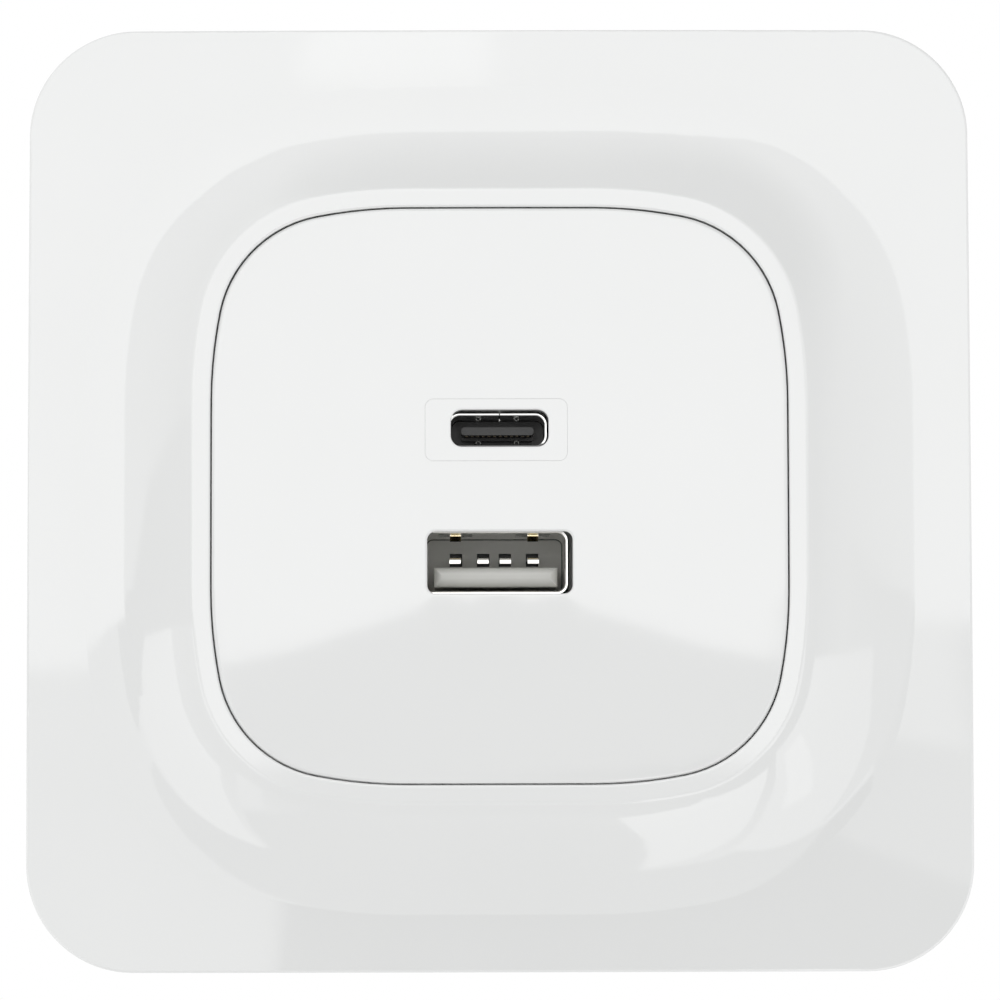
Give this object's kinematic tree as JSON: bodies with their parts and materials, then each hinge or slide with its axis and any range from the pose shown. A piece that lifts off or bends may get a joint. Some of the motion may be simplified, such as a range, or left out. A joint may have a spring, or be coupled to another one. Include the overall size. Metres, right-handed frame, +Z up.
{
  "type": "usb wall socket",
  "caption": "Flush wall socket with a coved square frame, a domed soft-square centre plate, an upper USB-C port, a lower USB-A port and a mains charger module behind.",
  "frame": {"origin": "centre of the box-screw pattern on the wall plane, at the back of the yoke and of the frame's edge", "axes": "+Z up the wall, +X to the right as seen from the room, +Y into the wall; the face looks along -Y"},
  "size_m": [0.085, 0.036, 0.085],
  "materials": {
    "white_plastic": "moulded, glossy",
    "shell_metal": "nickel plated sheet",
    "black_resin": "moulded, matt",
    "pale_resin": "moulded, satin",
    "gilt_contact": "gold flashed",
    "nickel_contact": "nickel plated",
    "zinc_steel": "zinc plated",
    "housing_plastic": "moulded, matt",
    "board_laminate": "solder resist",
    "terminal_plastic": "moulded, matt",
    "button_plastic": "moulded, satin",
    "spring_steel": "bright strip",
    "copper_bar": "tinned copper",
    "ferrite": "sintered, dull",
    "bobbin_plastic": "moulded, matt",
    "taped_winding": "film tape over wire",
    "copper_winding": "enamelled wire",
    "can_sleeve": "sleeved can",
    "film_case": "moulded case",
    "fuse_body": "glazed tube with caps",
    "disc_coat": "dipped coat",
    "chip_resin": "moulded, matt"
  },
  "bodies": {
    "socket": {"frame": "white_plastic", "centre_plate": "white_plastic", "usb_c_insert": "white_plastic", "usb_a_shell": "shell_metal", "usb_c_shell": "shell_metal", "usb_c_insulator": "black_resin", "usb_a_insulator": "pale_resin", "usb_c_contacts": "gilt_contact", "usb_a_contacts": "nickel_contact", "mounting_yoke": "zinc_steel", "housing_screws": "zinc_steel", "module_lid": "housing_plastic", "rear_housing": "housing_plastic", "circuit_board": "board_laminate", "terminal_block": "terminal_plastic", "clamp_spring_live": "spring_steel", "clamp_spring_neutral": "spring_steel", "contact_bar_live": "copper_bar", "contact_bar_neutral": "copper_bar", "transformer_core": "ferrite", "choke_core": "ferrite", "transformer_bobbin": "bobbin_plastic", "transformer_winding": "taped_winding", "choke_winding": "copper_winding", "input_capacitors": "can_sleeve", "output_capacitors": "can_sleeve", "film_capacitor": "film_case", "mains_fuse": "fuse_body", "safety_capacitor": "disc_coat", "bridge_rectifier": "chip_resin", "optocoupler": "chip_resin", "charge_controller": "chip_resin", "switch_chip": "chip_resin"},
    "button_live": {"release_button_live": "button_plastic"},
    "button_neutral": {"release_button_neutral": "button_plastic"}
  },
  "joints": [
    {"name": "release_live", "type": "slide", "parent": "socket", "child": "button_live", "axis": [0, -1, 0], "range_m": [0, 0.0015], "stiffness_N_per_m": 2000, "deforming": ["clamp_spring_live"]},
    {"name": "release_neutral", "type": "slide", "parent": "socket", "child": "button_neutral", "axis": [0, -1, 0], "range_m": [0, 0.0015], "stiffness_N_per_m": 2000, "deforming": ["clamp_spring_neutral"]}
  ]
}
